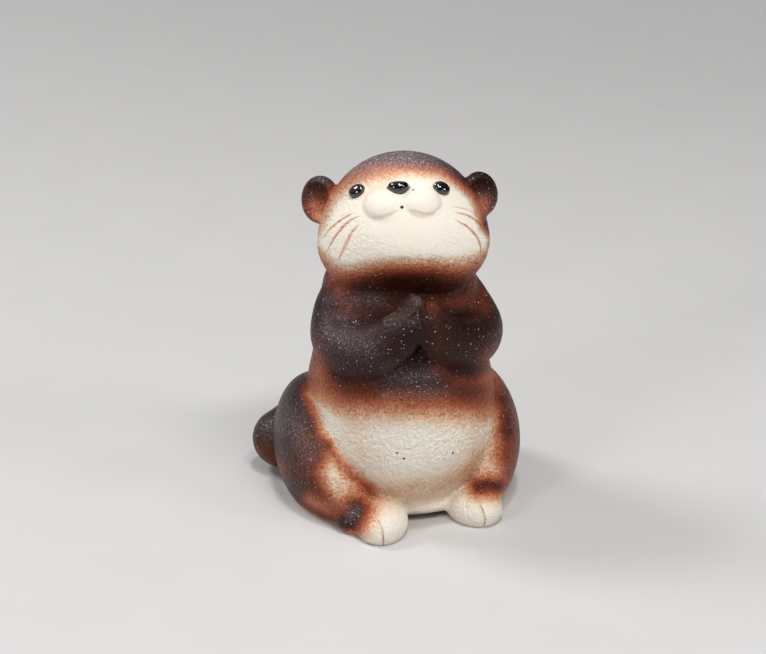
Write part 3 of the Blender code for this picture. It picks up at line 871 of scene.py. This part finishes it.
# Holes: the eyes and nose get shallow sockets, the mouth is one prick of a needle, and the
# figure is hollow, with a bore through the neck and a vent through the base for the kiln.
WALL = 3.2
BASE_FLOOR = 4.0
HOLLOW_TOP = 53.2
VENT_RADIUS = 4.5
NECK_BORE = 7.0
NECK_BORE_PLACE = (0, -1.5)
# Past every side of the figure
FAR = 60
for socket in sockets:
    use_up(skin, socket)


def big_box(low, high):
    """A block to cut with, between two corners in millimetres."""
    put_down()
    middle = [(a + b) / 2 for a, b in zip(low, high)]
    bpy.ops.mesh.primitive_cube_add(size=MM, location=at(*middle))
    box = bpy.context.object
    box.scale = [b - a for a, b in zip(low, high)]
    settle(box)
    return box


def drill(radius, low, high, place=(0, 0)):
    put_down()
    middle = at(*place, (low + high) / 2)
    bpy.ops.mesh.primitive_cylinder_add(
        vertices=48, radius=radius * MM, depth=(high - low) * MM, location=middle
    )
    bit = bpy.context.object
    settle(bit)
    return bit


needle = drill(MOUTH_RADIUS, -MOUTH_DEPTH / 2, MOUTH_DEPTH / 2)
needle.data.transform(Matrix.Translation(-BODY_AXIS))
needle.matrix_basis = MOUTH_SEAT @ Matrix.Rotation(math.pi / 2, 4, "X")
settle(needle)
use_up(skin, needle)
ring_heights, *ring_sides = np.array(BODY_RINGS).T
between = [height for height in ring_heights if BASE_FLOOR < height < HOLLOW_TOP]
inner_rings = [
    (height, *(np.interp(height, ring_heights, reach) - WALL for reach in ring_sides))
    for height in (BASE_FLOOR, *between, HOLLOW_TOP)
]
body_hollow = draw_up("body_hollow", inner_rings)
head_hollow = ball("head_hollow", [size - 2 * WALL for size in HEAD_SIZE], (0, 0, 0), 48, 30)
head_hollow.matrix_basis = head_frame
settle(head_hollow)
use_up(head_hollow, big_box((-FAR, -FAR, -FAR), (FAR, FAR, NECK_HEIGHT + WALL)))
vent = drill(VENT_RADIUS, -2, 2 * BASE_FLOOR)
neck_bore = drill(NECK_BORE, HOLLOW_TOP - WALL, NECK_HEIGHT + 2 * WALL, NECK_BORE_PLACE)
for hollow in (body_hollow, head_hollow, vent, neck_bore):
    use_up(skin, hollow)

# Pinholes: bubbles of gas burst through the slip in the kiln and left small round pits, three
# on the belly and one beside the nose. The glaze paints each pit and its rim dark, as painted
# shade.
# Place as seen square from the front, and radius
PINHOLES = ((-0.8, 10.0, 0.24), (0.8, 8.7, 0.2), (11.9, 9.8, 0.2), (2.6, 68.2, 0.15))
IN_FRONT = 80
pin_places = []
for across_pin, up_pin, radius in PINHOLES:
    start = across_pin * FRONT_RIGHT + up_pin * FRONT_UP + IN_FRONT * FRONT_TOWARD
    _, place, _, _ = skin.ray_cast(at(*start), -Vector(FRONT_TOWARD))
    pin = ball("pin", (2 * radius,) * 3, place, 16, 10)
    settle(pin)
    use_up(skin, pin)
    pin_places.append(np.array(place - BODY_AXIS) / MM)

# The flat base is wiped on a board, and the pieces are told apart again where they were luted.
# The ankle's lump goes with the haunch, and the pressed paws are parted where they meet.
pieces = {}
use_up(skin, big_box((-FAR, -FAR, -2 * FAR), (FAR, FAR, 0)))
use_up(claims["haunch_right"], claims.pop("ankle"), "UNION")
use_up(claims["arm_right"], claims["arm_left"], "UNION")
claims["arm_left"] = copy_of(claims["arm_right"], "claim_arm_left")
for word, low, high in (("right", -FAR, PAWS_MEET), ("left", PAWS_MEET, FAR)):
    half = big_box((low, -FAR, 0), (high, FAR, 2 * FAR))
    use_up(claims["arm_" + word], half, "INTERSECT")
above_neck = big_box((-FAR, -FAR, NECK_HEIGHT), (FAR, FAR, 2 * FAR))
upper = copy_of(skin, "head_shell_clay")
cut(upper, above_neck, "INTERSECT")
for clay_left, parts in ((upper, HEAD_PARTS), (skin, BODY_PARTS)):
    for node in parts:
        pieces[node] = copy_of(clay_left, node + "_clay")
        cut(pieces[node], claims[node], "INTERSECT")
        cut(clay_left, claims[node])
        if node.startswith("arm"):
            cut(upper, claims[node])
use_up(skin, above_neck)
for claim in claims.values():
    throw_away(claim)
skin.name = "torso_shell_clay"
pieces["torso_shell"] = skin
pieces["head_shell"] = upper

# Whiskers: three on each cheek, drawn on the slip in thinned rust with a fine brush, each stroke
# tapering off. Like the wash, they are kept as numbers on the points for the glaze to read.
# Course as seen square from the front, half-width and strength, top to bottom on each cheek
WHISKERS = (
    (((-10.4, 63.4), (-13, 62), (-15.5, 60.2), (-17.4, 58)), 0.24, 0.9),
    (((-9.4, 62.6), (-11.9, 61.1), (-14.4, 58.4), (-16.4, 55.2)), 0.27, 1),
    (((-9.2, 60.6), (-10.6, 59.3), (-11.7, 57.3), (-13, 54.7), (-13.8, 53)), 0.36, 0.75),
    (((11.1, 64.7), (13.3, 64.5), (15.4, 63.9), (16.6, 63.1)), 0.2, 0.45),
    (((12, 63.4), (14.4, 63), (16.5, 61.9), (18.2, 60.6), (19.2, 59.3)), 0.24, 0.95),
    (((12, 61.7), (14.4, 60.5), (16, 59.1), (17.1, 57.7), (17.7, 55.8), (17.8, 54.1)), 0.27, 1),
)
NONE_NEAR = 9.0
# How far in front of or behind a bead's seat its ring of glaze still counts
RING_DEPTH = 3


def ring_round(points):
    """How far each place lies outside the nearest bead or the mouth."""
    ring = np.full(len(points), NONE_NEAR)
    world = points * MM + np.array(BODY_AXIS)
    for node, seat in [*bead_seats.items(), ("mouth", MOUTH_SEAT)]:
        width, _, height = BEADS[node][0] if node in BEADS else (2 * MOUTH_RADIUS,) * 3
        inverse = np.array(seat.inverted())
        own = (world @ inverse[:3, :3].T + inverse[:3, 3]) / MM
        if node == "nose":
            own[:, 0] /= np.clip(1 + 0.3 * own[:, 2] / 1.5, 0.6, 1.1)
        radial = np.hypot(own[:, 0] / (width / 2), own[:, 2] / (height / 2))
        stretch = np.hypot(own[:, 0], own[:, 2]) / np.maximum(radial, 1e-6)
        far = (radial - 1) * np.where(radial > 1e-6, stretch, 1)
        ring = np.minimum(ring, np.where(np.abs(own[:, 1]) < RING_DEPTH, far, NONE_NEAR))
    return ring


def glaze_numbers(piece):
    """Keeps the numbers that the glaze reads on each point of the piece."""
    points = places_of(piece)
    facets = skin_facets[[skin_tree.find(point)[1] for point in points]]
    across, up, _ = seen(points)
    wash = wash_on(points, facets)
    side_of = np.full(len(points), NONE_NEAR)
    along_of = np.zeros(len(points))
    strength_of = np.zeros(len(points))
    if piece.name.startswith("head"):
        best = np.full(len(points), NONE_NEAR)
        for number, (course, width, strength) in enumerate(WHISKERS):
            far, sides, along = off_course(across, up, smooth_course(course, 6))
            nearer = (far < best) & (facets @ FRONT_TOWARD > -0.2)
            flip = 1 if number % 2 else -1
            best = np.where(nearer, far, best)
            side_of = np.where(nearer, flip * sides * far / width, side_of)
            along_of = np.where(nearer, along, along_of)
            strength_of = np.where(nearer, strength, strength_of)
    kept = {
        "wash": wash, "painted_sheen": painted_sheen_on(points, facets), "tooth": tooth_on(points, wash),
        "grain": grain_on(points), "ring": ring_round(points), "brush_side": side_of,
        "brush_along": along_of, "brush_strength": strength_of,
    }
    for name, values in kept.items():
        layer = piece.data.attributes.new(name, "FLOAT", "POINT")
        layer.data.foreach_set("value", values.astype(np.float32))


# Fired surface: satin cream slip under iron wash, which turns from orange through rust to near
# black as it thickens. Pale specks in it are partly grains of mica and partly painted glints.
WASH_COLOURS = (
    (0, (0.86, 0.795, 0.69)),
    (0.12, (0.82, 0.65, 0.5)),
    (0.25, (0.73, 0.43, 0.275)),
    (0.4, (0.59, 0.24, 0.125)),
    (0.55, (0.39, 0.108, 0.05)),
    (0.68, (0.225, 0.044, 0.016)),
    (0.8, (0.106, 0.022, 0.009)),
    (0.9, (0.04, 0.009, 0.005)),
    (1, (0.018, 0.005, 0.004)),
)
SPECK_AND_GLINT_COLOUR = (0.66, 0.62, 0.6, 1)
PAINTED_SHEEN_COLOUR = (0.5, 0.41, 0.43, 1)
BRUSH_COLOUR = (0.48, 0.135, 0.052, 1)
PINHOLE_SHADE_COLOUR = (0.07, 0.02, 0.012, 1)
HALO_COLOUR = (0.84, 0.76, 0.62, 1)
SCORCH_COLOUR = (0.09, 0.02, 0.012, 1)
BUMP_HEIGHT = 0.00045


def fired_clay(name):
    """The glaze of every clay piece, painted from the numbers kept on its points."""
    material, tree, shader, place = new_finish(name)
    shader.inputs["Specular IOR Level"].default_value = 0.16
    in_mm = (("Vector", place), ("Scale", (1 / MM, 1 / MM, 1 / MM)))
    mm = shader_step(tree, "ShaderNodeMapping", in_mm).outputs[0]

    def number(layer):
        return shader_step(tree, "ShaderNodeAttribute", attribute_name=layer).outputs["Fac"]

    def cloud(scale, detail, rough=0.5):
        return reckon(tree, "SUBTRACT", cloud_on(tree, mm, scale, detail, rough), 0.5)

    def dots(scale):
        dotted = (("Vector", mm), ("Scale", scale))
        return shader_step(tree, "ShaderNodeTexVoronoi", dotted).outputs

    def plus(one, other):
        return reckon(tree, "ADD", one, other)

    def times(one, other, more=0.0, clamp=False):
        return reckon(tree, "MULTIPLY_ADD", one, other, more, clamp=clamp)

    def rest_of(value):
        return reckon(tree, "SUBTRACT", 1.0, value)

    def rise(*limits):
        return soft_limit(tree, *limits)

    # The relief of the slip, and the wash stippled over it
    wash = number("wash")
    cells = cloud(1.7, 1.0)
    fine = cloud(3.4, 2.0)
    mottle = cloud(0.17, 4.0, 0.6)
    height = times(fine, 0.75, times(cells, 1.4, times(number("grain"), 0.4)))
    thinning = times(wash, rest_of(wash))
    turning = times(rise(wash, 0.0, 0.3), rest_of(wash))
    stipple = times(times(plus(height, fine), turning), -0.3)
    patchy = times(mottle, times(thinning, 0.6, 0.1))
    thick = plus(plus(wash, stipple), patchy)
    thick = times(times(fine, wash), -0.25, thick, clamp=True)
    ramp = shader_step(tree, "ShaderNodeValToRGB", (("Fac", thick),))
    stops = ramp.color_ramp.elements
    while len(stops) < len(WASH_COLOURS):
        stops.new(0.5)
    for stop, (spot, colour) in zip(stops, WASH_COLOURS):
        stop.position = spot
        stop.color = (*colour, 1)
    colour = ramp.outputs["Color"]

    # Painted sheen in fine grains, and pale specks, partly mica and partly painted glints
    sheen_grains = rest_of(rise(times(cells, -0.9, dots(2.7)["Distance"]), 0.08, 0.5))
    sheen_grains = times(sheen_grains, 1.7, 0.34)
    # Painted sheen: lilac grey grains mixed into the colour where the wash is dark.
    sheen_share = times(times(number("painted_sheen"), sheen_grains), rise(thick, 0.2, 0.7), clamp=True)
    colour = blend(tree, sheen_share, colour, PAINTED_SHEEN_COLOUR)
    specks = dots(1.8)
    chance = shader_step(tree, "ShaderNodeSeparateColor", (("Color", specks["Color"]),)).outputs[0]
    radius = times(reckon(tree, "POWER", chance, 4.0), 0.3)
    gap = reckon(tree, "SUBTRACT", specks["Distance"], radius)
    # Pale specks where the wash is dark: partly grains of mica, partly painted glints.
    speck_and_glint = times(rest_of(rise(gap, -0.05, 0.01)), rise(wash, 0.45, 0.8))
    colour = blend(tree, times(speck_and_glint, 0.9), colour, SPECK_AND_GLINT_COLOUR)

    # Painted shade in and round the pinholes, and the halo and scorch round the beads and the
    # mouth
    for place in pin_places:
        gap = shader_step(
            tree, "ShaderNodeVectorMath", ((0, mm), (1, (place * MM + np.array(BODY_AXIS)) / MM)),
            operation="DISTANCE",
        ).outputs["Value"]
        # Painted shade: each pit and a thin ring round it are darkened.
        colour = blend(tree, rest_of(rise(gap, 0.2, 0.34)), colour, PINHOLE_SHADE_COLOUR)
    ring = times(fine, 0.2, number("ring"))
    halo = times(rise(ring, 0.05, 0.2), rest_of(rise(ring, 0.4, 0.8)))
    colour = blend(tree, times(halo, 0.75), colour, HALO_COLOUR)
    colour = blend(tree, times(rest_of(rise(ring, 0.0, 0.2)), 0.5), colour, SCORCH_COLOUR)

    # Brush strokes, dry where the slip stands up
    along = number("brush_along")
    taper = reckon(tree, "POWER", times(times(rest_of(along), along), 4.0), 0.6)
    side = times(fine, 0.9, reckon(tree, "ABSOLUTE", number("brush_side")))
    brushed = rest_of(rise(reckon(tree, "SUBTRACT", side, taper), -0.35, 0.45))
    dry = rise(plus(height, 0.35), -0.2, 0.5)
    brushed = times(times(brushed, times(dry, -0.35, 1.0)), number("brush_strength"))
    colour = blend(tree, brushed, colour, BRUSH_COLOUR)
    tree.links.new(colour, shader.inputs["Base Color"])

    rough = times(fine, 0.3, times(rise(thick, 0.1, 0.9), -0.1, 0.42), clamp=True)
    tree.links.new(rough, shader.inputs["Roughness"])
    relief = times(height, number("tooth"))
    raised = (("Height", relief), ("Strength", 1.0), ("Distance", BUMP_HEIGHT))
    bump = shader_step(tree, "ShaderNodeBump", raised)
    tree.links.new(bump.outputs[0], shader.inputs["Normal"])
    return material


clay = fired_clay("slip and iron wash")
CREASE_ANGLE = math.radians(35)
for node, piece in pieces.items():
    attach(piece, "root")
    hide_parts(node)
    glaze_numbers(piece)
    piece.data.materials.clear()
    piece.data.materials.append(clay)
    take(piece)
    bpy.ops.object.shade_smooth_by_angle(angle=CREASE_ANGLE)

# Floor: a plain pale sheet, faintly grained, for the figure to stand on. Far from the lamps the
# camera sees it as pale as it is near them.
FLOOR_PALE = (0.64, 0.63, 0.62, 1)
FLOOR_DARK = (0.6, 0.59, 0.58, 1)
OFF_WHITE = (1.0, 0.985, 0.97, 1)
bpy.context.scene.view_settings.view_transform = "Standard"
put_down()
bpy.ops.mesh.primitive_plane_add(size=8)
floor = bpy.context.object
floor_material, sheet, floor_shader, floor_place = new_finish("pale floor")
floor.data.materials.append(floor_material)
floor_colour = blend(sheet, cloud_on(sheet, floor_place, 40.0, 5.0), FLOOR_DARK, FLOOR_PALE)
sheet.links.new(floor_colour, floor_shader.inputs["Base Color"])
floor_shader.inputs["Roughness"].default_value = 0.8
far_off = shader_step(
    sheet, "ShaderNodeVectorMath", ((0, floor_place),), operation="LENGTH"
).outputs["Value"]
far_off = reckon(sheet, "MULTIPLY", soft_limit(sheet, far_off, 0.25, 1.6), 0.56)
floor_seen = shader_step(sheet, "ShaderNodeLightPath").outputs["Is Camera Ray"]
floor_glow = reckon(sheet, "MULTIPLY", far_off, floor_seen)
sheet.links.new(floor_glow, floor_shader.inputs["Emission Strength"])
floor_shader.inputs["Emission Color"].default_value = OFF_WHITE

# Camera: square to the front of the face, and so far back that the figure is as large in the
# picture as in the photograph.
CAMERA_DISTANCE = 480
CAMERA_LENS = 97.2
AIM_HEIGHT = 41.3
AIM_ASIDE = 3.94
right = Vector(FRONT_RIGHT)
back = Vector(FRONT_TOWARD)
aim = at(0, 0, AIM_HEIGHT) - right * AIM_ASIDE * MM
camera_data = bpy.data.cameras.new("camera")
camera_data.lens = CAMERA_LENS
camera_data.clip_start = 0.01
camera = bpy.data.objects.new("camera", camera_data)
bpy.context.scene.collection.objects.link(camera)
turn = Matrix((right, back.cross(right), back)).transposed().to_4x4()
camera.matrix_world = Matrix.Translation(aim + back * CAMERA_DISTANCE * MM) @ turn
bpy.context.scene.camera = camera

# Light: a long soft box over the face, a small lamp overhead and windows at the sides, which the
# beads mirror as bright spots. Place, width, power and, for the box, its height.
LAMPS = {
    "soft box": ((0.11, -0.45, 0.77), 0.42, 3.0, 0.12),
    "overhead": ((0.0, -0.2, 0.95), 0.13, 2.5, 0),
    "skylight": ((-0.45, 0.3, 0.65), 0.26, 2.6, 0),
    "left window": ((-0.62, -0.45, 0.36), 0.22, 1.4, 0),
    "right window": ((0.62, -0.5, 0.42), 0.24, 1.15, 0),
    "right glint": ((0.3, -0.85, 0.2), 0.12, 0.4, 0),
}
LIT_PLACE = Vector((0, 0, 0.04))
for name, (place, width, power, height) in LAMPS.items():
    lamp = bpy.data.lights.new(name, "AREA")
    lamp.shape = "RECTANGLE" if height else "DISK"
    lamp.size = width
    lamp.size_y = height or width
    lamp.energy = power
    hung = bpy.data.objects.new(name, lamp)
    bpy.context.scene.collection.objects.link(hung)
    turn = (LIT_PLACE - Vector(place)).to_track_quat("-Z", "Y").to_matrix().to_4x4()
    hung.matrix_world = Matrix.Translation(place) @ turn

# Room: plain daylight from all round. The backdrop is pale for the camera, and glaze mirrors a
# sky that is brightest behind the otter's right shoulder.
DAYLIGHT = (0.9, 0.92, 0.95, 1)
DAYLIGHT_STRENGTH = 0.18
BACKDROP_STRENGTH = 0.62
BRIGHTEST = (-0.36, 0.60, 0.72)
world = bpy.data.worlds.new("room")
bpy.context.scene.world = world
world.use_nodes = True
room = world.node_tree
room_light = room.nodes["Background"]
room_light.inputs["Color"].default_value = DAYLIGHT
room_light.inputs["Strength"].default_value = DAYLIGHT_STRENGTH
direction = shader_step(room, "ShaderNodeTexCoord").outputs["Generated"]
toward_sky = shader_step(
    room, "ShaderNodeVectorMath", ((0, direction), (1, BRIGHTEST)), operation="DOT_PRODUCT"
).outputs["Value"]
mirrored_sky = reckon(room, "MULTIPLY_ADD", soft_limit(room, toward_sky, 0.3, 0.9), 0.26, 0.04)
rays = shader_step(room, "ShaderNodeLightPath").outputs
pale = reckon(room, "MULTIPLY", rays["Is Camera Ray"], BACKDROP_STRENGTH)
pale = reckon(room, "MAXIMUM", mirrored_sky, pale)
backdrop = shader_step(room, "ShaderNodeBackground", (("Color", OFF_WHITE), ("Strength", pale)))
is_seen = reckon(room, "MAXIMUM", rays["Is Glossy Ray"], rays["Is Transmission Ray"])
is_seen = reckon(room, "MAXIMUM", rays["Is Camera Ray"], is_seen)
either = shader_step(
    room, "ShaderNodeMixShader",
    ((0, is_seen), (1, room_light.outputs[0]), (2, backdrop.outputs[0])),
)
room.links.new(either.outputs[0], room.nodes["World Output"].inputs["Surface"])
